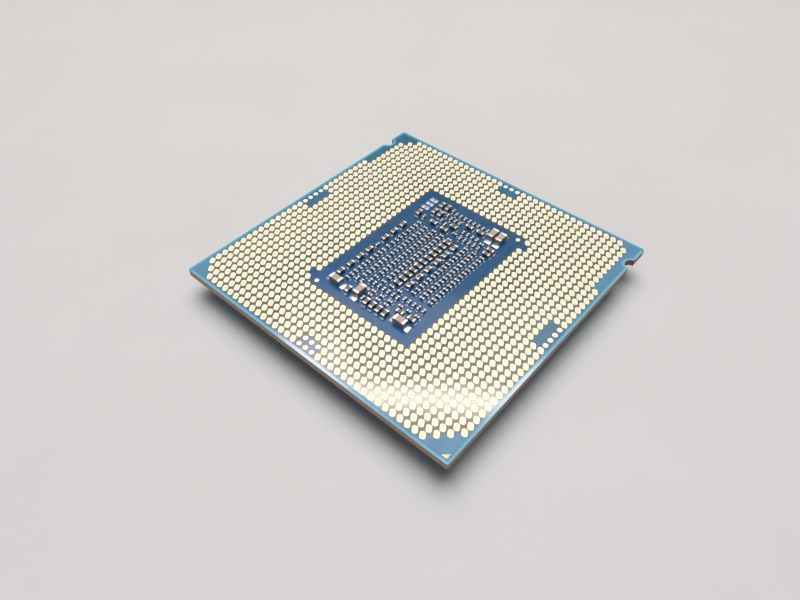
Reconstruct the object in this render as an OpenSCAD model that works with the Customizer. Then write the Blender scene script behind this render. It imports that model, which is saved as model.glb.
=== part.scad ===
// Desktop processor in a square land-grid package, lying on its lid with the contact side up.
// Millimetres. Origin at the middle of the lid's outer face, +Z towards the contact side.
// +X and +Y run along the package edges, and the pin-one corner is at (+X, -Y).

/* [Substrate] */
// Edge length of the square laminate
substrate_size = 37.5; // [36:0.1:46]
// Thickness of the laminate
substrate_thickness = 0.85; // [0.7:0.01:1.4]
// Radius of the laminate's four corners
substrate_corner = 0.25; // [0.1:0.05:1]
// Radius of the half-round key notches
notch_radius = 0.85; // [0.6:0.01:1]
// How far the key notches reach in from the edge
notch_depth = 0.72; // [0.4:0.01:0.8]
// Distance of the key notches from the +Y edge
notch_from_edge = 3.37; // [3:0.01:5]

/* [Contact lands] */
// Grid pitch of the lands
land_pitch = 0.9144; // [0.9:0.0004:1.1]
// Overall length of one oblong land
land_length = 0.88; // [0.7:0.01:0.9]
// Width of one oblong land
land_width = 0.60; // [0.4:0.01:0.62]
// Direction of a land's long axis, turned from +X
land_angle = 121; // [115:1:135]
// Height of the plated lands above the laminate
land_thickness = 0.03; // [0.01:0.005:0.06]
// Least distance from a land's centre to the laminate's edge
land_edge = 0.9; // [0.8:0.01:2]
// Width of the bare window in the middle, along X
window_width = 14.6; // [14:0.1:18]
// Length of the bare window in the middle, along Y
window_length = 21.9; // [21.5:0.1:26]
// Diameter of the small round lands in the edge windows
test_land_diameter = 0.6; // [0.4:0.01:0.8]

/* [Gold marks] */
// Diameter of the two round alignment dots
fiducial_diameter = 0.55; // [0.3:0.01:0.8]
// Distance of the alignment dots from the middle, along X
fiducial_x = 6.56; // [6.5:0.01:6.8]
// Distance of the alignment dots from the middle, along Y
fiducial_y = 10.29; // [9.9:0.01:10.5]
// Leg of the pin-one triangle on the contact side
mark_leg = 0.7; // [0.4:0.01:0.9]
// Distance of that triangle from both edges
mark_inset = 0.46; // [0.2:0.01:0.5]
// Leg of the pin-one triangle on the lid side
lid_mark_leg = 1.5; // [0.8:0.1:2]
// Distance of the lid-side triangle from both edges
lid_mark_inset = 0.5; // [0.3:0.1:0.9]
// Thickness of the plated marks
mark_thickness = 0.02; // [0.01:0.005:0.04]

/* [Chip capacitors] */
// Length of a small capacitor
small_length = 0.57; // [0.5:0.01:0.66]
// Width of a small capacitor
small_width = 0.3; // [0.2:0.01:0.4]
// Height of a small capacitor
small_height = 0.3; // [0.2:0.01:0.4]
// Length of a small capacitor's end caps
small_end = 0.18; // [0.1:0.01:0.2]
// Reach of a small capacitor's solder pads past its ends
small_reach = 0.15; // [0.05:0.01:0.16]
// Length of a medium capacitor
medium_length = 0.96; // [0.9:0.01:1.05]
// Width of a medium capacitor
medium_width = 0.52; // [0.4:0.01:0.58]
// Height of a medium capacitor
medium_height = 0.5; // [0.3:0.01:0.6]
// Length of a medium capacitor's end caps
medium_end = 0.22; // [0.15:0.01:0.3]
// Reach of a medium capacitor's solder pads past its ends
medium_reach = 0.16; // [0.05:0.01:0.16]
// Length of a large capacitor
large_length = 1.52; // [1.4:0.01:1.7]
// Width of a large capacitor
large_width = 0.82; // [0.6:0.01:0.9]
// Height of a large capacitor
large_height = 0.8; // [0.5:0.01:0.9]
// Length of a large capacitor's end caps
large_end = 0.30; // [0.2:0.01:0.4]
// Reach of a large capacitor's solder pads past its ends
large_reach = 0.56; // [0.3:0.01:0.6]
// Thickness of the metal on the capacitor ends
plating = 0.02; // [0.01:0.005:0.03]
// Thickness of the solder under the capacitors and on the bare pads
solder_thickness = 0.03; // [0.01:0.005:0.05]
// Height of the solder fillets as a part of the capacitor's height
fillet_rise = 0.35; // [0.2:0.05:0.8]
// Longest run of a solder fillet along its pad
fillet_run = 0.1; // [0.05:0.01:0.3]
// Margin of the solder pads on each side of a capacitor
joint_side = 0.015; // [0:0.005:0.03]

/* [Capacitor field] */
// Row pitch of the small capacitors
small_pitch = 0.671; // [0.64:0.001:0.68]
// Row pitch of the medium capacitors that lie side by side
medium_pitch = 0.877; // [0.84:0.001:0.89]
// Row pitch of the medium capacitors that stand end to end
medium_end_pitch = 1.586; // [1.5:0.001:1.6]
// Length of one bare solder pad along X
bare_pad_length = 0.5; // [0.3:0.01:0.56]
// Width of one bare solder pad along Y
bare_pad_width = 0.64; // [0.3:0.01:0.7]
// Gap between the two pads of a bare pair
bare_pad_gap = 0.06; // [0.04:0.01:0.2]

/* [Heat spreader] */
// Overall height of the lid
lid_height = 3.0; // [2.6:0.05:3.6]
// Edge length of the plateau's outer face
plateau_size = 27.6; // [26:0.1:29]
// Height of the plateau above the flange
plateau_step = 1.4; // [0.8:0.05:1.6]
// Corner radius of the plateau
plateau_corner = 1.6; // [0.8:0.1:3]
// Slope of the plateau's pressed edge, measured in plan
plateau_draft = 0.3; // [0.1:0.05:0.6]
// Edge length of the square flange
flange_size = 31.0; // [30:0.1:32]
// Corner radius of the flange
flange_corner = 2.0; // [1:0.1:3]
// Overall width across the two side ears, along X
ear_span = 33.8; // [32.5:0.1:34]
// Length of an ear along Y
ear_length = 19.6; // [14:0.1:24]
// Corner radius of the ears
ear_corner = 1.0; // [0.4:0.1:1.2]
// Edge length of the pocket over the die
pocket_size = 25.6; // [23:0.1:26]
// Corner radius of the pocket
pocket_corner = 1.5; // [0.5:0.1:3]

/* [Under the lid] */
// Thickness of the adhesive bead
sealant_thickness = 0.12; // [0.05:0.01:0.3]
// Width of the adhesive bead
sealant_width = 1.6; // [1:0.1:1.8]
// Distance of the bead from the flange's outer edge
sealant_inset = 0.5; // [0.3:0.1:0.7]
// Width of the vent gap in the bead
vent_gap = 3.0; // [1:0.1:6]
// Die width, along X
die_width = 10.4; // [8:0.1:14]
// Die length, along Y
die_length = 20.6; // [12:0.1:22]
// Die thickness
die_thickness = 0.78; // [0.5:0.01:0.9]
// Gap under the die that the underfill takes
bump_gap = 0.08; // [0.04:0.01:0.12]
// Thickness of the metal between die and lid
interface_thickness = 0.10; // [0.05:0.01:0.2]
// How far the interface metal stays inside the die's edges
interface_inset = 0.3; // [0:0.1:1]
// How far the underfill spreads past the die
underfill_reach = 0.9; // [0.4:0.1:1.4]
// How far the underfill climbs the die's sides
underfill_rise = 0.4; // [0.2:0.05:0.48]

/* [Hidden] */

half = substrate_size / 2;
// The laminate's two faces
lid_side = lid_height + sealant_thickness;
land_face = lid_side + substrate_thickness;
// The stack in the pocket, from the laminate down to the pocket's floor
die_top = lid_side - bump_gap;
die_base = die_top - die_thickness;
pocket_floor = die_base - interface_thickness;

// The land grid is as many sites as fit on the laminate, an even number each way
grid_half = floor((half - land_edge) / land_pitch + 0.5);
last = 2 * grid_half - 1;
mid = grid_half - 1;

// Blocks of sites with no oblong land: first column, last column, first row, last row
corner_blocks = [
    [0, 2, last, last], [0, 1, last - 1, last - 1], [0, 0, last - 8, last - 2],
    [last - 1, last, last, last], [last, last, last - 9, last - 1],
    [0, 1, 0, 0], [0, 0, 1, 1],
    [last - 2, last, 0, 0], [last - 1, last, 1, 1], [last, last, 2, 2]
];
edge_windows = [
    [1, 1, mid - 1, mid + 2], [last - 1, last - 1, mid - 1, mid + 2], [mid, mid + 2, last - 1, last - 1]
];
// Blocks of sites with a small round land
round_blocks = [
    [0, 0, mid - 1, mid + 2], [last, last, mid - 1, mid + 2],
    [mid, mid + 2, last, last], [mid - 1, mid + 1, 0, 1]
];
// The two sites left bare beside the alignment dots, counted from the middle in pitches
dot_sites = [[-8.5, -10.5], [8.5, 10.5]];

function site(i, j) = [(i - last / 2) * land_pitch, (j - last / 2) * land_pitch];
function in_block(i, j, b) = i >= b[0] && i <= b[1] && j >= b[2] && j <= b[3];
function in_any(i, j, blocks) = len([for (b = blocks) if (in_block(i, j, b)) b]) > 0;
function in_window(p) = abs(p[0]) < window_width / 2 && abs(p[1]) < window_length / 2;
function by_dot(i, j) = len([for (s = dot_sites) if (i - last / 2 == s[0] && j - last / 2 == s[1]) s]) > 0;
function bare_site(i, j) = in_window(site(i, j)) || by_dot(i, j) || in_any(i, j, corner_blocks)
    || in_any(i, j, edge_windows) || in_any(i, j, round_blocks);

// Capacitor sizes: length, width, height, end cap, pad reach
small = [small_length, small_width, small_height, small_end, small_reach];
medium = [medium_length, medium_width, medium_height, medium_end, medium_reach];
large = [large_length, large_width, large_height, large_end, large_reach];

// Rows of capacitors: first place, how many, step to the next
small_along_x = [
    [[-4.10, 4.70], 4, [0, -small_pitch]], [[-4.12, 1.87], 4, [0, -small_pitch]],
    [[-4.14, -0.95], 1, [0, 0]], [[-4.12, -1.75], 10, [0, -small_pitch]],
    [[-2.93, 4.46], 17, [0, -small_pitch]],
    [[-1.76, 4.63], 15, [0, -small_pitch]], [[-0.57, 4.62], 15, [0, -small_pitch]],
    [[3.02, 4.63], 15, [0, -small_pitch]], [[4.19, 4.63], 15, [0, -small_pitch]],
    [[5.35, 4.63], 15, [0, -small_pitch]],
    [[-1.76, -5.61], 4, [1.16, 0]], [[0.56, 4.66], 1, [0, 0]],
    [[0.38, 5.92], 1, [0, 0]], [[3.96, 6.52], 1, [0, 0]],
    [[-0.43, -7.44], 3, [1.175, 0]], [[-0.43, -8.10], 3, [1.175, 0]], [[3.22, -7.20], 3, [1.155, 0]]
];
small_along_y = [
    [[-2.34, 9.24], 1, [0, 0]], [[-1.65, 8.91], 8, [small_pitch, 0]],
    [[-2.36, 8.06], 1, [0, 0]], [[-1.65, 7.81], 3, [small_pitch, 0]],
    [[-2.34, 6.85], 1, [0, 0]], [[-1.61, 6.51], 1, [0, 0]], [[-4.49, 6.04], 1, [0, 0]],
    [[1.02, 6.79], 4, [small_pitch, 0]], [[1.31, 5.67], 5, [small_pitch, 0]],
    [[-5.32, -1.54], 1, [0, 0]], [[-3.23, -7.18], 2, [small_pitch, 0]],
    [[-1.88, -6.50], 7, [small_pitch, 0]], [[2.82, -6.13], 5, [small_pitch, 0]],
    [[-0.72, -9.00], 1, [0, 0]]
];
medium_along_x = [
    [[0.78, 3.93], 11, [0, -medium_pitch]],
    [[-0.42, 6.74], 1, [0, 0]], [[-2.76, 5.80], 1, [0, 0]], [[-1.02, 5.61], 1, [0, 0]],
    [[1.05, 7.99], 2, [1.6, 0]], [[5.39, 6.21], 2, [0, -0.78]], [[3.78, -7.97], 2, [1.6, 0]]
];
medium_along_y = [
    [[1.98, 3.73], 6, [0, -medium_end_pitch]],
    [[-5.34, 6.10], 1, [0, 0]], [[-5.33, 3.02], 3, [0, -medium_end_pitch]],
    [[-5.34, -2.90], 4, [0, -medium_end_pitch]],
    [[-3.98, 9.06], 2, [medium_pitch, 0]], [[-3.99, 7.52], 2, [medium_pitch, 0]],
    [[-2.71, -9.18], 1, [0, 0]], [[0.06, -9.20], 4, [medium_pitch, 0]]
];
large_along_x = [[[-4.71, -9.02], 2, [9.42, 0]]];
large_along_y = [[[-1.57, -8.54], 1, [0, 0]], [[4.05, 8.60], 2, [1.12, 0]]];
bare_pad_rows = [[-5.64, 9.48], [-5.64, 8.61], [-5.62, 7.73]];

function places(rows) = [for (r = rows) for (k = [0 : r[1] - 1]) r[0] + k * r[2]];

// Rectangle in plan with true round corners
module rounded(w, l, r) {
    square([w - 2 * r, l], center = true);
    square([w, l - 2 * r], center = true);
    for (x = [-1, 1])
        for (y = [-1, 1])
            translate([x * (w / 2 - r), y * (l / 2 - r)])
                circle(r = r, $fn = 48);
}

module slab(z, h) {
    translate([0, 0, z])
        linear_extrude(h)
            children();
}

module heat_spreader() {
    color([0.72, 0.72, 0.70])
        difference() {
            union() {
                hull() {
                    slab(0, 0.05) rounded(plateau_size, plateau_size, plateau_corner);
                    slab(plateau_step - 0.05, 0.05)
                        rounded(plateau_size + 2 * plateau_draft, plateau_size + 2 * plateau_draft,
                            plateau_corner + plateau_draft);
                }
                slab(plateau_step, lid_height - plateau_step) {
                    rounded(flange_size, flange_size, flange_corner);
                    rounded(ear_span, ear_length, ear_corner);
                }
            }
            slab(pocket_floor, lid_height) rounded(pocket_size, pocket_size, pocket_corner);
        }
}

module lid_sealant() {
    bead_outer = flange_size - 2 * sealant_inset;
    bead_inner = bead_outer - 2 * sealant_width;
    bead_corner = flange_corner - sealant_inset;
    color([0.07, 0.07, 0.08])
        slab(lid_height, sealant_thickness)
            difference() {
                rounded(bead_outer, bead_outer, bead_corner);
                rounded(bead_inner, bead_inner, bead_corner / 2);
                translate([0, -bead_outer / 2])
                    square([vent_gap, 4 * sealant_width], center = true);
            }
}

module thermal_interface() {
    color([0.66, 0.67, 0.70])
        slab(pocket_floor, interface_thickness)
            square([die_width - 2 * interface_inset, die_length - 2 * interface_inset], center = true);
}

module die() {
    color([0.22, 0.23, 0.27])
        slab(die_base, die_thickness)
            square([die_width, die_length], center = true);
}

module underfill() {
    skin = bump_gap / 2;
    color([0.16, 0.14, 0.12])
        difference() {
            hull() {
                slab(lid_side - skin, skin)
                    square([die_width + 2 * underfill_reach, die_length + 2 * underfill_reach], center = true);
                slab(die_top - underfill_rise, skin)
                    square([die_width + skin, die_length + skin], center = true);
            }
            slab(die_base, die_thickness)
                square([die_width, die_length], center = true);
        }
}

module substrate() {
    notch_centre = half - notch_depth + notch_radius;
    color([0.20, 0.36, 0.55])
        slab(lid_side, substrate_thickness)
            difference() {
                rounded(substrate_size, substrate_size, substrate_corner);
                for (s = [-1, 1])
                    translate([s * notch_centre, half - notch_from_edge])
                        circle(r = notch_radius, $fn = 64);
            }
}

// One oblong land, a round disc with two sides cut straight
module land() {
    rotate(land_angle)
        intersection() {
            circle(d = land_length, $fn = 32);
            square([2 * land_length, land_width], center = true);
        }
}

module contact_lands() {
    color([0.93, 0.84, 0.66])
        slab(land_face, land_thickness)
            for (i = [0 : last])
                for (j = [0 : last])
                    if (!bare_site(i, j))
                        translate(site(i, j))
                            land();
}

module test_lands() {
    color([0.93, 0.84, 0.66])
        slab(land_face, land_thickness)
            for (b = round_blocks)
                for (i = [b[0] : b[1]])
                    for (j = [b[2] : b[3]])
                        translate(site(i, j))
                            circle(d = test_land_diameter, $fn = 32);
}

module fiducials() {
    color([0.93, 0.84, 0.66])
        slab(land_face, mark_thickness)
            for (s = [-1, 1])
                translate([s * fiducial_x, s * fiducial_y])
                    circle(d = fiducial_diameter, $fn = 48);
}

// Right triangle whose square corner lies at (+X, -Y)
module corner_mark(inset, leg) {
    x = half - inset;
    polygon([[x - leg, -x], [x, -x], [x, leg - x]]);
}

module pin_one_marks() {
    color([0.93, 0.84, 0.66]) {
        slab(land_face, mark_thickness) corner_mark(mark_inset, mark_leg);
        slab(lid_side - mark_thickness, mark_thickness) corner_mark(lid_mark_inset, lid_mark_leg);
    }
}

// Puts one piece on every place of two sets of rows, turned a quarter on the second set
module on_places(along_x, along_y) {
    for (p = places(along_x))
        translate([p[0], p[1], land_face])
            children();
    for (p = places(along_y))
        translate([p[0], p[1], land_face])
            rotate(90)
                children();
}

// Ceramic body, inside the plating of its end caps
module cap_body(size) {
    translate([0, 0, solder_thickness + size[2] / 2])
        cube([size[0] - 2 * plating, size[1] - 2 * plating, size[2] - 2 * plating], center = true);
}

// Two metal cups over the ends of the body
module cap_ends(size) {
    for (s = [-1, 1])
        difference() {
            translate([s * (size[0] - size[3]) / 2, 0, solder_thickness + size[2] / 2])
                cube([size[3], size[1], size[2]], center = true);
            cap_body(size);
        }
}

// Two solder joints, each a flat pad with a hollow fillet that climbs the end cap
module cap_joints(size) {
    inner = size[0] / 2 - size[3];
    end = size[0] / 2;
    outer = end + size[4];
    run = min(fillet_run, size[4]);
    rise = fillet_rise * size[2];
    t = solder_thickness;
    for (s = [0, 180])
        rotate(s)
            rotate([90, 0, 0])
                linear_extrude(size[1] + 2 * joint_side, center = true)
                    polygon([
                        [inner, 0], [outer, 0], [outer, t], [end + run, t], [end + run / 2, t + rise / 6],
                        [end + run / 5, t + rise / 2], [end, t + rise], [end, t], [inner, t]
                    ]);
}

module small_cap_bodies() {
    color([0.52, 0.48, 0.46]) on_places(small_along_x, small_along_y) cap_body(small);
}

module small_cap_ends() {
    color([0.82, 0.82, 0.84]) on_places(small_along_x, small_along_y) cap_ends(small);
}

module small_cap_joints() {
    color([0.76, 0.78, 0.82]) on_places(small_along_x, small_along_y) cap_joints(small);
}

module medium_cap_bodies() {
    color([0.55, 0.51, 0.49]) on_places(medium_along_x, medium_along_y) cap_body(medium);
}

module medium_cap_ends() {
    color([0.85, 0.85, 0.86]) on_places(medium_along_x, medium_along_y) cap_ends(medium);
}

module medium_cap_joints() {
    color([0.76, 0.78, 0.82]) on_places(medium_along_x, medium_along_y) cap_joints(medium);
}

module large_cap_bodies() {
    color([0.74, 0.68, 0.62]) on_places(large_along_x, large_along_y) cap_body(large);
}

module large_cap_ends() {
    color([0.88, 0.88, 0.87]) on_places(large_along_x, large_along_y) cap_ends(large);
}

module large_cap_joints() {
    color([0.80, 0.82, 0.85]) on_places(large_along_x, large_along_y) cap_joints(large);
}

module bare_pads() {
    color([0.76, 0.78, 0.84])
        slab(land_face, solder_thickness)
            for (p = bare_pad_rows)
                for (s = [-1, 1])
                    translate([p[0] + s * (bare_pad_length + bare_pad_gap) / 2, p[1]])
                        square([bare_pad_length, bare_pad_width], center = true);
}

heat_spreader();
lid_sealant();
thermal_interface();
die();
underfill();
substrate();
contact_lands();
test_lands();
fiducials();
pin_one_marks();
small_cap_bodies();
small_cap_ends();
small_cap_joints();
medium_cap_bodies();
medium_cap_ends();
medium_cap_joints();
large_cap_bodies();
large_cap_ends();
large_cap_joints();
bare_pads();
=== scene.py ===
import math

import bmesh
import bpy
import numpy as np
from mathutils import Matrix, Vector


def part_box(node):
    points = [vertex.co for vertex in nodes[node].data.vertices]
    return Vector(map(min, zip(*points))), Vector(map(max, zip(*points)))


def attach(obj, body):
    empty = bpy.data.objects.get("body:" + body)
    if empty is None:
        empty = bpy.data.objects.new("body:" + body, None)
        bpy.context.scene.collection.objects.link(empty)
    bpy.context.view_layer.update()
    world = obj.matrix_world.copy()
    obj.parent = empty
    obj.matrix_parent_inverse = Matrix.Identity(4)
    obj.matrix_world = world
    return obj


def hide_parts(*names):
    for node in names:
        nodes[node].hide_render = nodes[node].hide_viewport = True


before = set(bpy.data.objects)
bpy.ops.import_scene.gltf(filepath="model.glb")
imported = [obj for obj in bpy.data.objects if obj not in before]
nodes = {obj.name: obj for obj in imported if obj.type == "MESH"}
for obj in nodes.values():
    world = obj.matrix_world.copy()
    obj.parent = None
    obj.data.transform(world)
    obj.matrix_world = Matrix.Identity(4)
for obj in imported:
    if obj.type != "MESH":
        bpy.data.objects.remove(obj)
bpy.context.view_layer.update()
scene = bpy.context.scene
MM = 0.001


def node_box(node):
    """A node's lowest and highest corners, in millimetres."""
    low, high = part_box(node)
    return [round(v / MM, 3) for v in low], [round(v / MM, 3) for v in high]


# Sizes taken from the frame, in millimetres
board_low, board_high = node_box("substrate")
BOARD_HALF = board_high[0]
BOARD_UNDER = board_low[2]
BOARD_TOP = board_high[2]
LAND_RISE = round(node_box("contact_lands")[1][2] - BOARD_TOP, 3)
DOT_RISE = round(node_box("fiducials")[1][2] - BOARD_TOP, 3)

# Sizes shared with the part's source, in millimetres
NOTCH_RADIUS = 0.85
NOTCH_DEPTH = 0.72
NOTCH_FROM_EDGE = 3.37
NOTCH_X = BOARD_HALF + NOTCH_RADIUS - NOTCH_DEPTH
NOTCH_Y = BOARD_HALF - NOTCH_FROM_EDGE
PITCH = 0.9144
LAND_LENGTH = 0.88
LAND_WIDTH = 0.60
LAND_ANGLE = math.radians(121)
WINDOW_X = 14.6
WINDOW_Y = 21.9
ROUND_LAND = 0.60
DOT = 0.55

# The lattice has 40 by 40 land sites, counted from 0 at the lowest x and y
LATTICE_MIDDLE = 19.5

# Blocks of sites without an oblong land: first column, last column, first row, last row.
# The mask is pale at three corners, deeper at the fourth and in the windows of three edges,
# and greyer in the window of the front edge. The dots' blocks belong to the bare middle.
PALE_BLOCKS = [
    (38, 39, 39, 39), (39, 39, 30, 38),
    (0, 1, 0, 0), (0, 0, 1, 1),
    (37, 39, 0, 0), (38, 39, 1, 1), (39, 39, 2, 2),
]
DEEP_BLOCKS = [
    (0, 2, 39, 39), (0, 1, 38, 38), (0, 0, 31, 37),
    (0, 1, 18, 21), (19, 21, 38, 39), (38, 39, 18, 21),
]
FRONT_BLOCKS = [(18, 20, 0, 1)]
DOT_BLOCKS = [(11, 11, 9, 9), (28, 28, 30, 30)]
BLOCK_BLUR = 0.12


# Node trees
class Nodes:
    """Short calls for the nodes of a tree. They take numbers, colours and other nodes' sockets."""

    # A colour mix has its two colours and its result at these places among its sockets
    MIX_FIRST = 6
    MIX_SECOND = 7
    MIX_RESULT = 2

    def __init__(self, tree):
        self.tree = tree

    def new(self, kind):
        return self.tree.nodes.new("ShaderNode" + kind)

    def put(self, socket, value):
        if isinstance(value, bpy.types.NodeSocket):
            self.tree.links.new(value, socket)
        elif socket.type == "RGBA":
            socket.default_value = (*value, 1)
        else:
            socket.default_value = value

    def feed(self, node, **values):
        for key, value in values.items():
            self.put(node.inputs[key.replace("_", " ")], value)

    def split(self, vector):
        node = self.new("SeparateXYZ")
        self.put(node.inputs[0], vector)
        return node.outputs[0], node.outputs[1], node.outputs[2]

    def join(self, x, y, z):
        node = self.new("CombineXYZ")
        self.feed(node, X=x, Y=y, Z=z)
        return node.outputs[0]

    def math(self, operation, a, b=0.0, c=0.0):
        node = self.new("Math")
        node.operation = operation
        for socket, value in zip(node.inputs, (a, b, c)):
            self.put(socket, value)
        return node.outputs[0]

    def ramp(self, value, low, high, start=0.0, end=1.0):
        """start up to low, end from high on, and a smooth change between."""
        node = self.new("MapRange")
        node.interpolation_type = "SMOOTHSTEP"
        self.feed(node, Value=value, From_Min=low, From_Max=high, To_Min=start, To_Max=end)
        return node.outputs["Result"]

    def mix(self, share, first, second):
        node = self.new("Mix")
        node.data_type = "RGBA"
        self.put(node.inputs["Factor"], share)
        self.put(node.inputs[self.MIX_FIRST], first)
        self.put(node.inputs[self.MIX_SECOND], second)
        return node.outputs[self.MIX_RESULT]


class Look(Nodes):
    """A material and the nodes that feed its shader. Lengths in it are millimetres."""

    def __init__(self, name):
        self.mat = bpy.data.materials.new(name)
        self.mat.use_nodes = True
        super().__init__(self.mat.node_tree)
        self.shader = self.tree.nodes["Principled BSDF"]
        scaled = self.new("VectorMath")
        scaled.operation = "SCALE"
        scaled.inputs["Scale"].default_value = 1 / MM
        self.put(scaled.inputs[0], self.new("TexCoord").outputs["Object"])
        self.place = scaled.outputs[0]
        self.x, self.y, self.z = self.split(self.place)

    def set(self, **values):
        self.feed(self.shader, **values)

    def noise(self, scale, detail=3.0, rough=0.55, stretch=None, warp=0.0):
        vector = self.place
        if stretch:
            scaled = self.new("VectorMath")
            scaled.operation = "MULTIPLY"
            self.put(scaled.inputs[0], self.place)
            self.put(scaled.inputs[1], stretch)
            vector = scaled.outputs[0]
        node = self.new("TexNoise")
        self.feed(node, Vector=vector, Scale=scale, Detail=detail, Roughness=rough, Distortion=warp)
        return node.outputs["Fac"]

    def clouds(self, scale, rough=0.65):
        """Noise with more contrast, for patches of two tones."""
        return self.ramp(self.noise(scale, 4.0, rough), 0.3, 0.7)

    def uneven(self, base, span, scale):
        """A number from base to base + span that wanders with noise of a scale."""
        return self.math("MULTIPLY_ADD", self.noise(scale), span, base)

    def grains(self, scale):
        """Distance from the nearest of many scattered points, in cells."""
        node = self.new("TexVoronoi")
        self.feed(node, Vector=self.place, Scale=scale)
        return node.outputs["Distance"]

    def chance(self, vector):
        """A number and a colour that are fixed for each vector but differ between vectors."""
        node = self.new("TexWhiteNoise")
        self.feed(node, Vector=vector)
        return node.outputs["Value"], node.outputs["Color"]

    def facing_up(self):
        return self.split(self.new("NewGeometry").outputs["Normal"])[2]

    def past_sites(self, place, first, last):
        """How far a place is outside the sites from first to last, below 0 inside them."""
        middle = ((first + last) / 2 - LATTICE_MIDDLE) * PITCH
        half = (last - first + 1) / 2 * PITCH
        away = self.math("ABSOLUTE", self.math("SUBTRACT", place, middle))
        return self.math("SUBTRACT", away, half)

    def blocks(self, items):
        """1 inside any of the blocks of land sites, 0 outside."""
        share = 0.0
        for first, last, low, high in items:
            wide = self.past_sites(self.x, first, last)
            deep = self.past_sites(self.y, low, high)
            inside = self.ramp(self.math("MAXIMUM", wide, deep), 0.0, BLOCK_BLUR, 1.0, 0.0)
            share = self.math("MAXIMUM", share, inside)
        return share

    def bump(self, height, depth):
        node = self.new("Bump")
        self.feed(node, Height=height, Distance=depth * MM)
        self.put(self.shader.inputs["Normal"], node.outputs[0])
        return self


def srgb(red, green, blue):
    """A colour given as a screen shows it, 0 to 255."""
    out = []
    for value in (red, green, blue):
        v = value / 255
        out.append(v / 12.92 if v <= 0.04045 else ((v + 0.055) / 1.055) ** 2.4)
    return tuple(out)


# Tones of the board: pairs from darker to paler, then single ones
BARE_BACK = srgb(31, 74, 109), srgb(39, 84, 121)
BARE_FRONT = srgb(33, 80, 124), srgb(41, 91, 138)
# The gap tones are painted shade: grey between the raised lands in place of the blue mask
SHADED_GAP_INNER = srgb(74, 82, 84), srgb(88, 94, 94)
SHADED_GAP_OUTER = srgb(95, 99, 97), srgb(108, 110, 106)
SHADED_GAP_FRONT = srgb(109, 99, 92), srgb(122, 111, 103)
BLOCK_PALE = srgb(79, 126, 158), srgb(87, 135, 167)
BLOCK_DEEP = srgb(56, 102, 130), srgb(64, 111, 139)
BLOCK_FRONT = srgb(82, 99, 122), srgb(90, 107, 130)
LID_COAT = srgb(44, 98, 136), srgb(54, 110, 148)
LIP_NEAR = srgb(111, 163, 182), srgb(121, 174, 193)
LIP_FAR = srgb(72, 150, 178), srgb(84, 163, 190)
RESIN = srgb(128, 101, 84), srgb(176, 148, 126)
DUST = srgb(120, 160, 190)
FOIL = srgb(176, 120, 74)
# Bare resin in the notches, darkened with painted shade in the hollow
DRILLED_AND_SHADED = srgb(120, 72, 26)
MASK_EDGE = srgb(60, 140, 168)

# Bands in millimetres, each from where a change starts to where it ends:
# outward from the bare middle's outline, along x and y, and out to the far sides
WINDOW_BAND = (-0.2, 0.1)
GAP_BAND = (0.5, 8.5)
GAP_BAND_X = (-13.0, -1.0)
GAP_BAND_Y = (-15.0, -4.0)
BARE_BAND_Y = (-11.0, 2.0)
LIP_FAR_BAND = (18.0, 18.4)

# Inward from the board's edges and notches
ROUND_OFF_BAND = (-0.1, 0.5)
LIP_BAND = (0.20, 0.42)
BORDER_BAND = (0.42, 0.60)
NOTCH_BAND = (0.04, 0.10)

# Away from a foil, from the board's middle height and from the middle of a land
FOIL_BAND = (0.004, 0.012)
MASK_EDGE_BAND = (0.385, 0.40)
LAND_RIM_HIGHLIGHT_BAND = (0.14, 0.26)
MARK_WIDTH_BAND = (0.015, 0.05)
MARK_LENGTH_BAND = (0.10, 0.2)

# Half the distance between foils
LAYER = 0.053


# Materials
def contact_side(k, across, along, edge, cloud, fine):
    """The mask among the lands: deep in the bare middle, grey with painted shade in the gaps and pale
    at the edges.
    """
    past_x = k.math("SUBTRACT", across, WINDOW_X / 2)
    past_y = k.math("SUBTRACT", along, WINDOW_Y / 2)
    outward = k.math("MAXIMUM", past_x, past_y)
    bare = k.mix(cloud, *BARE_BACK)
    bare = k.mix(k.ramp(k.y, *BARE_BAND_Y, 0.8, 0.0), bare, k.mix(cloud, *BARE_FRONT))
    speck = k.ramp(k.grains(1.3), 0.035, 0.06, 0.35, 0.0)
    bare = k.mix(speck, bare, DUST)

    # Painted shade in the gaps between lands, paler further out and warmer at the front
    front = k.math("MULTIPLY", k.ramp(k.y, *GAP_BAND_Y, 1.0, 0.0), k.ramp(k.x, *GAP_BAND_X))
    outer = k.mix(front, k.mix(fine, *SHADED_GAP_OUTER), k.mix(fine, *SHADED_GAP_FRONT))
    shaded_gaps = k.mix(k.ramp(outward, *GAP_BAND), k.mix(fine, *SHADED_GAP_INNER), outer)

    field = k.math("SUBTRACT", k.ramp(outward, *WINDOW_BAND), k.blocks(DOT_BLOCKS))
    mask = k.mix(field, bare, shaded_gaps)
    pale = k.math("MAXIMUM", k.blocks(PALE_BLOCKS), k.ramp(edge, *BORDER_BAND, 1.0, 0.0))
    mask = k.mix(pale, mask, k.mix(cloud, *BLOCK_PALE))
    mask = k.mix(k.blocks(DEEP_BLOCKS), mask, k.mix(cloud, *BLOCK_DEEP))
    return k.mix(k.blocks(FRONT_BLOCKS), mask, k.mix(cloud, *BLOCK_FRONT))


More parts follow.
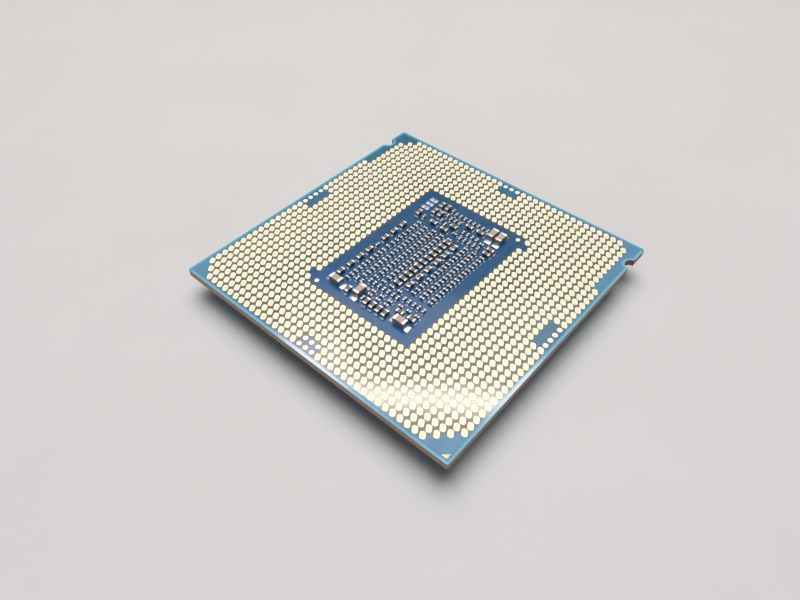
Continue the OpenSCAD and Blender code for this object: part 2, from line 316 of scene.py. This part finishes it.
def cut_side(k, to_notch):
    """The board's side: resin and foil in layers under the mask's edge, bare resin darkened by
    painted shade in the notches.
    """
    height = k.math("SUBTRACT", k.z, BOARD_UNDER)
    foil = k.ramp(k.math("PINGPONG", height, LAYER), *FOIL_BAND, 0.5, 0.0)
    grain = k.ramp(k.noise(1.6, 5.0, 0.7, (1, 1, 14)), 0.3, 0.7)
    wall = k.mix(foil, k.mix(grain, *RESIN), FOIL)
    # The notches' tone is bare resin with painted shade
    wall = k.mix(k.ramp(to_notch, *NOTCH_BAND, 0.8, 0.0), wall, DRILLED_AND_SHADED)
    from_middle = k.math("SUBTRACT", height, (BOARD_TOP - BOARD_UNDER) / 2)
    skin = k.ramp(k.math("ABSOLUTE", from_middle), *MASK_EDGE_BAND)
    return k.mix(skin, wall, MASK_EDGE)


def laminate_look():
    k = Look("laminate")
    across = k.math("ABSOLUTE", k.x)
    along = k.math("ABSOLUTE", k.y)
    edge = k.math("SUBTRACT", BOARD_HALF, k.math("MAXIMUM", across, along))
    notch_x = k.math("SUBTRACT", across, NOTCH_X)
    notch_y = k.math("SUBTRACT", k.y, NOTCH_Y)
    to_notch = k.math("MULTIPLY_ADD", notch_x, notch_x, k.math("MULTIPLY", notch_y, notch_y))
    to_notch = k.math("SUBTRACT", k.math("SQRT", to_notch), NOTCH_RADIUS)
    inward = k.math("MINIMUM", edge, to_notch)
    cloud = k.clouds(0.55, 0.6)
    fine = k.ramp(k.noise(5.0, 3.0, 0.6), 0.35, 0.65)
    up = k.facing_up()

    # The lid side has one plain coat, and both sides have a paler lip
    coat = k.mix(cloud, *LID_COAT)
    mask = k.mix(k.ramp(up, -0.2, 0.2), coat, contact_side(k, across, along, edge, cloud, fine))
    far = k.ramp(k.math("MAXIMUM", k.math("MULTIPLY", k.x, -1.0), k.y), *LIP_FAR_BAND)
    lip = k.mix(far, k.mix(fine, *LIP_NEAR), k.mix(fine, *LIP_FAR))
    waver = k.math("MULTIPLY_ADD", k.noise(3.0, 2.0), 0.08, -0.04)
    mask = k.mix(k.ramp(k.math("ADD", inward, waver), *LIP_BAND, 1.0, 0.0), mask, lip)

    flat = k.ramp(k.math("ABSOLUTE", up), 0.45, 0.75)
    k.set(Base_Color=k.mix(flat, cut_side(k, to_notch), mask))
    streak = k.noise(1.4, 4.0, 0.6, (1.0, 0.25, 1.0))
    gloss = k.math("MULTIPLY_ADD", streak, 0.08, 0.05)
    k.set(Roughness=k.ramp(flat, 0.0, 1.0, 0.62, gloss), Specular_IOR_Level=0.6)

    # The mask rounds off towards the edges
    fall = k.ramp(inward, *ROUND_OFF_BAND)
    return k.bump(k.math("MULTIPLY_ADD", k.noise(0.7, 2.0), 0.12, fall), 0.02).mat


def land_look():
    """Gold plate on the tilted lands, each with its own tint, a rim paler with a painted highlight
    and a faint spring mark.
    """
    k = Look("gold_lands")
    across = k.math("DIVIDE", k.x, PITCH)
    along = k.math("DIVIDE", k.y, PITCH)
    cell = k.join(k.math("FLOOR", across), k.math("FLOOR", along), 0.0)
    tint, hue = k.chance(cell)
    worn = k.split(hue)[0]

    # Places on a land, along it and across it from its centre
    px = k.math("MULTIPLY", k.math("SUBTRACT", k.math("FRACT", across), 0.5), PITCH)
    py = k.math("MULTIPLY", k.math("SUBTRACT", k.math("FRACT", along), 0.5), PITCH)
    c, s = math.cos(LAND_ANGLE), math.sin(LAND_ANGLE)
    u = k.math("ABSOLUTE", k.math("MULTIPLY_ADD", px, c, k.math("MULTIPLY", py, s)))
    v = k.math("ABSOLUTE", k.math("MULTIPLY_ADD", py, c, k.math("MULTIPLY", px, -s)))
    past = k.math("MAXIMUM", k.math("SUBTRACT", u, (LAND_LENGTH - LAND_WIDTH) / 2), 0.0)
    reach = k.math("SQRT", k.math("MULTIPLY_ADD", past, past, k.math("MULTIPLY", v, v)))
    rim_highlight = k.ramp(reach, *LAND_RIM_HIGHLIGHT_BAND, 0.0, 0.8)
    mark = k.math("MULTIPLY", k.ramp(v, *MARK_WIDTH_BAND, 1.0, 0.0), k.ramp(worn, 0.35, 0.6))
    mark = k.math("MULTIPLY", mark, k.ramp(u, *MARK_LENGTH_BAND, 1.0, 0.0))

    plate = k.mix(tint, (0.80, 0.785, 0.525), (0.865, 0.78, 0.605))
    plate = k.mix(k.math("MULTIPLY", worn, 0.4), plate, (0.87, 0.74, 0.53))
    # The paler rim is a painted highlight along each land's edge
    plate = k.mix(rim_highlight, plate, (0.975, 0.95, 0.86))
    plate = k.mix(k.math("MULTIPLY", mark, 0.4), plate, (0.78, 0.58, 0.34))
    k.set(Base_Color=plate, Metallic=1.0)
    haze = k.uneven(0.69, 0.16, 6.0)
    k.set(Roughness=k.math("MULTIPLY_ADD", mark, -0.12, haze), Coat_Weight=0.5, Coat_Roughness=0.1)
    return k.bump(k.noise(24.0, 2.0), 0.004).mat


def gold_look(name, dark, pale):
    k = Look(name)
    k.set(Base_Color=k.mix(k.noise(5.0), dark, pale), Metallic=1.0)
    k.set(Roughness=k.uneven(0.58, 0.16, 7.0))
    return k.bump(k.noise(24.0, 2.0), 0.004).mat


def tin_look(name, dark, pale):
    """Tinned end caps, darker on their sides with painted shade."""
    k = Look(name)
    tone = k.mix(k.clouds(9.0), dark, pale)
    # Painted shade: the sides are darker than the tops
    side = (0.40, 0.395, 0.395)
    k.set(Base_Color=k.mix(k.ramp(k.facing_up(), 0.1, 0.7), side, tone), Metallic=1.0)
    k.set(Roughness=k.uneven(0.34, 0.2, 14.0))
    return k.bump(k.noise(16.0, 3.0), 0.012).mat


def solder_look(name, dark, pale, rough):
    k = Look(name)
    k.set(Base_Color=k.mix(k.clouds(7.0), dark, pale), Metallic=1.0)
    k.set(Roughness=k.uneven(rough, 0.2, 10.0))
    return k.bump(k.noise(12.0, 3.0), 0.01).mat


def paste_look():
    """Bare pads with a matt skin over the solder, their lilac tint a painted reflection of bluish
    surroundings.
    """
    k = Look("bare_paste")
    # The lilac tone is a painted reflection of the blue surroundings
    tone = k.mix(k.clouds(5.0), (0.42, 0.435, 0.56), (0.53, 0.545, 0.68))
    k.set(Base_Color=tone, Metallic=0.8)
    k.set(Roughness=k.uneven(0.36, 0.2, 9.0))
    return k.bump(k.noise(12.0, 3.0), 0.01).mat


def ceramic_look(name, dark, pale, rough):
    """Grainy capacitor bodies, their sides darker with painted shade."""
    k = Look(name)
    speck = k.ramp(k.grains(38.0), 0.12, 0.5)
    grain = k.math("MULTIPLY_ADD", speck, 0.5, k.math("MULTIPLY", k.noise(6.0, 4.0), 0.5))
    # Painted shade: the sides are darker than the tops
    side = tuple(0.85 * v for v in dark)
    k.set(Base_Color=k.mix(k.ramp(k.facing_up(), 0.1, 0.7), side, k.mix(grain, dark, pale)))
    k.set(Roughness=k.uneven(rough, 0.2, 12.0))
    return k.bump(k.noise(30.0, 2.0), 0.004).mat


def nickel_look():
    """Plated lid with a fine lay along one side, cloudy handling marks and a few long scratches."""
    k = Look("nickel_lid")
    lay = k.noise(3.0, 5.0, 0.7, (0.6, 22, 6))
    cloud = k.ramp(k.noise(0.28, 4.0, 0.6), 0.35, 0.7)
    scratch = k.ramp(k.noise(0.8, 2.0, 0.5, (0.35, 26, 1), 0.6), 0.70, 0.76)
    tone = k.mix(k.ramp(lay, 0.3, 0.7), (0.50, 0.485, 0.455), (0.66, 0.645, 0.61))
    tone = k.mix(k.math("MULTIPLY", cloud, 0.3), tone, (0.58, 0.55, 0.50))
    tone = k.mix(k.math("MULTIPLY", scratch, 0.5), tone, (0.82, 0.80, 0.77))
    k.set(Base_Color=tone, Metallic=1.0)
    k.set(Roughness=k.math("MULTIPLY_ADD", cloud, 0.08, k.math("MULTIPLY_ADD", lay, 0.18, 0.24)))
    return k.bump(k.math("MULTIPLY_ADD", scratch, -0.5, lay), 0.006).mat


def plain_look(name, dark, pale, scale, rough, metallic=0.0, depth=0.02):
    k = Look(name)
    k.set(Base_Color=k.mix(k.clouds(scale, 0.6), dark, pale), Metallic=metallic)
    k.set(Roughness=k.uneven(rough, 0.2, scale * 2))
    return k.bump(k.noise(scale * 3, 3.0), depth).mat


def floor_look():
    k = Look("floor")
    tone = k.mix(k.noise(0.05), (0.52, 0.515, 0.51), (0.56, 0.555, 0.55))
    k.set(Base_Color=tone, Roughness=0.75)
    return k.mat


LOOKS = {
    "laminate": laminate_look(),
    "lands": land_look(),
    "gold": gold_look("gold_rounds", (0.86, 0.785, 0.59), (0.925, 0.86, 0.69)),
    "gold_dot": gold_look("gold_dots", (0.91, 0.86, 0.73), (0.96, 0.925, 0.82)),
    "gold_mark": gold_look("gold_marks", (0.72, 0.63, 0.45), (0.82, 0.73, 0.55)),
    "tin": tin_look("tin_ends", (0.50, 0.50, 0.50), (0.63, 0.63, 0.63)),
    "tin_bright": tin_look("tin_bright_ends", (0.58, 0.58, 0.58), (0.72, 0.72, 0.72)),
    "tin_white": tin_look("tin_white_ends", (0.68, 0.68, 0.69), (0.82, 0.82, 0.83)),
    "solder": solder_look("solder", (0.56, 0.57, 0.60), (0.70, 0.71, 0.74), 0.24),
    "solder_dull": solder_look("solder_dull", (0.34, 0.36, 0.41), (0.45, 0.47, 0.52), 0.40),
    "paste": paste_look(),
    "ceramic_tiny": ceramic_look("ceramic_tiny", srgb(116, 114, 115), srgb(152, 149, 150), 0.42),
    "ceramic_small": ceramic_look("ceramic_small", srgb(84, 76, 69), srgb(122, 112, 102), 0.42),
    "ceramic_large": ceramic_look("ceramic_large", srgb(143, 130, 118), srgb(178, 165, 152), 0.45),
    "nickel": nickel_look(),
    "sealant": plain_look("sealant", (0.012, 0.012, 0.013), (0.03, 0.03, 0.032), 1.6, 0.5),
    "interface": plain_look("interface", (0.42, 0.42, 0.43), (0.58, 0.58, 0.60), 1.2, 0.5),
    "silicon": plain_look("silicon", (0.10, 0.105, 0.12), (0.16, 0.165, 0.18), 0.6, 0.12, 0.6, 0.002),
    "underfill": plain_look("underfill", (0.020, 0.018, 0.016), (0.045, 0.04, 0.036), 1.0, 0.4),
}


# Pieces
def finish_piece(obj, node, look):
    obj.data.materials.clear()
    obj.data.materials.append(LOOKS[look])
    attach(obj, "root")
    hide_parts(node)


def new_object(name, data):
    obj = bpy.data.objects.new(name, data)
    scene.collection.objects.link(obj)
    return obj


def smooth(mesh):
    mesh.polygons.foreach_set("use_smooth", [True] * len(mesh.polygons))


# Limits for the rounded pieces: lengths in millimetres, angles, and the rise of an upright edge
WELD = 0.0002
SLIVER = 0.0005
LEVEL = math.radians(0.5)
SHARP = math.radians(35)
UPRIGHT = 0.9


def softened(node, look, width, segments, corner=0.0):
    """A piece with a node's form, its sharp edges rounded as the real ones are."""
    bm = bmesh.new()
    bm.from_mesh(nodes[node].data)
    bmesh.ops.scale(bm, vec=(1 / MM, 1 / MM, 1 / MM), verts=bm.verts)
    bmesh.ops.remove_doubles(bm, verts=bm.verts, dist=WELD)
    bmesh.ops.dissolve_limit(bm, angle_limit=LEVEL, verts=bm.verts, edges=bm.edges)
    if corner:
        ends = [(e, e.verts[0].co - e.verts[1].co) for e in bm.edges]
        upright = [e for e, span in ends if abs(span.normalized().z) > UPRIGHT]
        bmesh.ops.bevel(bm, geom=upright, offset=corner, segments=4, profile=0.5, affect="EDGES")
    sharp = [e for e in bm.edges if e.is_manifold and e.calc_face_angle(0.0) > SHARP]
    bmesh.ops.bevel(
        bm, geom=sharp, offset=width, offset_type="OFFSET", segments=segments, profile=0.5,
        affect="EDGES", clamp_overlap=True,
    )

    # Where two roundings meet in a thin wall they leave slivers, which take two passes to clear
    for _ in range(2):
        bmesh.ops.dissolve_degenerate(bm, dist=SLIVER, edges=bm.edges)
    bmesh.ops.scale(bm, vec=(MM, MM, MM), verts=bm.verts)
    mesh = bpy.data.meshes.new(node + "_soft")
    bm.to_mesh(mesh)
    bm.free()
    obj = new_object(node + "_soft", mesh)
    smooth(mesh)
    weighted = obj.modifiers.new("even_normals", "WEIGHTED_NORMAL")
    weighted.weight = 100
    weighted.keep_sharp = True
    finish_piece(obj, node, look)


# Form of a land: half its two slanting axes as shares of its length, their slant,
# and how sharp its corners are
LAND_LONGER = 0.53
LAND_SHORTER = 0.455
LAND_SLANT = math.radians(29)
LAND_CORNER = 13
LAND_POINTS = 28
RING_POINTS = 32
PAD_CREASE = math.radians(50)


def land_outline(inset):
    """Points round a disc with two sides cut straight, its corners eased and its ends askew."""
    longer = LAND_LENGTH * LAND_LONGER - inset
    shorter = LAND_LENGTH * LAND_SHORTER - inset
    half = LAND_WIDTH / 2 - inset
    points = []
    for i in range(LAND_POINTS):
        turn = math.tau * (i + 0.5) / LAND_POINTS
        askew = turn - LAND_SLANT
        radius = math.hypot(math.cos(askew) / longer, math.sin(askew) / shorter) ** -1
        side = (abs(math.sin(turn)) / half) ** LAND_CORNER
        reach = (radius ** -LAND_CORNER + side) ** (-1 / LAND_CORNER)
        points.append((reach * math.cos(turn), reach * math.sin(turn)))
    return points


def ring(diameter, inset):
    radius = diameter / 2 - inset
    turns = [math.tau * i / RING_POINTS for i in range(RING_POINTS)]
    return [(radius * math.cos(turn), radius * math.sin(turn)) for turn in turns]


def pads(name, node, look, centres, rings, angle=0.0):
    """Many gold pads alike, each lofted through rings of points and height and closed at its ends."""
    count = len(rings[0][0])
    c, s = math.cos(angle), math.sin(angle)
    form = [(x * c - y * s, x * s + y * c, BOARD_TOP + z) for points, z in rings for x, y in points]
    form = np.array(form)
    each = len(form)
    sides = []
    for low in range(0, each - count, count):
        for i in range(count):
            j = (i + 1) % count
            sides.append((low + i, low + j, low + count + j, low + count + i))
    ends = [tuple(range(count - 1, -1, -1)), tuple(range(each - count, each))]
    verts = np.concatenate([form + (x, y, 0) for x, y in centres]) * MM
    faces = []
    for n in range(len(centres)):
        faces += [tuple(n * each + i for i in face) for face in sides + ends]
    mesh = bpy.data.meshes.new(name)
    mesh.from_pydata(verts.tolist(), [], faces)
    smooth(mesh)
    mesh.set_sharp_from_angle(angle=PAD_CREASE)
    finish_piece(new_object(name, mesh), node, look)


def plan(node):
    """A node's points seen from above, in millimetres."""
    mesh = nodes[node].data
    co = np.zeros(len(mesh.vertices) * 3)
    mesh.vertices.foreach_get("co", co)
    return co.reshape(-1, 3)[:, :2] / MM


def spots(node):
    """Centres of the lattice cells that a node's lands lie in."""
    cells = np.unique(np.floor(plan(node) / PITCH).astype(int), axis=0)
    return [((i + 0.5) * PITCH, (j + 0.5) * PITCH) for i, j in cells.tolist()]


def halves(node):
    """Centres of a node's two pieces, one on each side of the middle."""
    points = plan(node)
    sides = [points[points[:, 0] > 0], points[points[:, 0] < 0]]
    return [tuple((side.min(axis=0) + side.max(axis=0)) / 2) for side in sides]


# Sections of the pads from foot to middle, as insets in millimetres and shares of the rise.
# Lands dish slightly inside their rims.
LAND_SECTION = [(0.0, 0.0), (0.010, 1.0), (0.11, 0.8)]
ROUND_SECTION = [(0.0, 0.0), (0.0, 0.6), (0.015, 1.0), (0.09, 0.9)]
DOT_SECTION = [(0.0, 0.0), (0.0, 0.6), (0.01, 1.0)]
land_rings = [(land_outline(inset), LAND_RISE * share) for inset, share in LAND_SECTION]
round_rings = [(ring(ROUND_LAND, inset), LAND_RISE * share) for inset, share in ROUND_SECTION]
dot_rings = [(ring(DOT, inset), DOT_RISE * share) for inset, share in DOT_SECTION]
pads("plated_lands", "contact_lands", "lands", spots("contact_lands"), land_rings, LAND_ANGLE)
pads("round_lands", "test_lands", "gold", spots("test_lands"), round_rings)
pads("alignment_dots", "fiducials", "gold_dot", halves("fiducials"), dot_rings)

# Node, look, width of the rounding in millimetres and its segments
softened("substrate", "laminate", 0.035, 2)
softened("heat_spreader", "nickel", 0.16, 3)
softened("pin_one_marks", "gold_mark", 0.006, 1, corner=0.05)
softened("bare_pads", "paste", 0.014, 2)
softened("small_cap_bodies", "ceramic_tiny", 0.012, 2)
softened("small_cap_ends", "tin", 0.016, 2)
softened("small_cap_joints", "solder_dull", 0.015, 1)
softened("medium_cap_bodies", "ceramic_small", 0.03, 2)
softened("medium_cap_ends", "tin_bright", 0.028, 2)
softened("medium_cap_joints", "solder_dull", 0.02, 2)
softened("large_cap_bodies", "ceramic_large", 0.04, 2)
softened("large_cap_ends", "tin_white", 0.05, 3)
softened("large_cap_joints", "solder", 0.03, 2)

# Nodes inside the lid keep their own form
INNER_LOOKS = {
    "lid_sealant": "sealant",
    "thermal_interface": "interface",
    "die": "silicon",
    "underfill": "underfill",
}
for node, look in INNER_LOOKS.items():
    nodes[node].data.materials.clear()
    nodes[node].data.materials.append(LOOKS[look])


# Camera as the photograph has it, from a fit to the lattice of lands
eye = Vector((0.034348, -0.043641, 0.056517))
ahead = Vector((-0.444045, 0.517832, -0.731214)).normalized()
over = Vector((-0.483248, 0.548806, 0.682117))
right = ahead.cross(over).normalized()
over = right.cross(ahead)
lens = bpy.data.cameras.new("camera")
lens.sensor_fit = "HORIZONTAL"
lens.sensor_width = 36
lens.lens = 29.675
lens.clip_start = 0.002
lens.clip_end = 20
camera = new_object("camera", lens)
turned = Matrix((right, over, -ahead)).transposed().to_4x4()
camera.matrix_world = Matrix.Translation(eye) @ turned
scene.camera = camera


# Floor, in metres, a hair under the object so that their faces don't meet
FLOOR_HALF = 4
FLOOR_LEVEL = -0.00001
floor_corners = [(-FLOOR_HALF, -FLOOR_HALF), (FLOOR_HALF, -FLOOR_HALF)]
floor_corners += [(FLOOR_HALF, FLOOR_HALF), (-FLOOR_HALF, FLOOR_HALF)]
floor_mesh = bpy.data.meshes.new("floor")
floor_mesh.from_pydata([(x, y, FLOOR_LEVEL) for x, y in floor_corners], [], [(0, 1, 2, 3)])
floor = new_object("floor", floor_mesh)
floor_mesh.materials.append(floor_look())


# Lights, in metres and degrees, with the heading from the camera over the object
BEHIND = math.atan2(0.7615, -0.648)
MIDDLE = Vector((0, 0, 0))
NEAR_GLARE = Vector((13.95, -13.8, BOARD_TOP)) * MM
FRONT_EDGE = Vector((2.5, -17.0, BOARD_TOP)) * MM
WHITE = (1, 1, 1)
WARM = (1.0, 0.78, 0.66)


def softbox(name, azimuth, elevation, away, wide, high, radiance, spot=MIDDLE, tint=WHITE):
    """A rectangular soft light aimed at a spot, its azimuth counted from behind the object."""
    data = bpy.data.lights.new(name, "AREA")
    data.shape = "RECTANGLE"
    data.size = wide
    data.size_y = high
    data.energy = radiance * wide * high * math.pi
    data.color = tint
    a = BEHIND + math.radians(azimuth)
    e = math.radians(elevation)
    way = Vector((math.cos(a) * math.cos(e), math.sin(a) * math.cos(e), math.sin(e)))
    obj = new_object(name, data)
    obj.location = way * away + spot
    obj.rotation_euler = (-way).to_track_quat("-Z", "Y").to_euler()


# Name, azimuth, elevation, distance, width, height, brightness, and for some a spot and a tint
softbox("key", 0, 86, 0.6, 0.46, 0.40, 7.1)
softbox("strip", -4, 55.4, 0.6, 0.17, 0.016, 20.0, NEAR_GLARE, (1.0, 0.92, 0.84))
softbox("wing_left", 22, 54.5, 0.6, 0.075, 0.075, 9.0, NEAR_GLARE, WARM)
softbox("wing_right", -23.5, 55, 0.6, 0.056, 0.063, 9.0, NEAR_GLARE, WARM)
softbox("glow", -4, 55, 0.59, 0.3, 0.16, 1.65, tint=(1.0, 0.91, 0.85))
softbox("haze", 14, 52.2, 0.6, 0.085, 0.054, 3.6, FRONT_EDGE, (1.0, 0.82, 0.91))
softbox("back", 0, 43, 0.8, 0.9, 0.14, 0.40, tint=(1.0, 0.86, 0.72))
softbox("side", 139.6, 20, 0.8, 0.5, 0.3, 1.2)

# The studio's walls are pale low down and dim overhead
world = bpy.data.worlds.new("world")
world.use_nodes = True
studio = Nodes(world.node_tree)
rise = studio.split(studio.new("TexCoord").outputs["Generated"])[2]
walls = studio.mix(studio.ramp(rise, 0.16, 0.46), (0.36, 0.36, 0.365), (0.03, 0.031, 0.033))
studio.feed(world.node_tree.nodes["Background"], Color=walls)
scene.world = world
scene.view_settings.view_transform = "Standard"
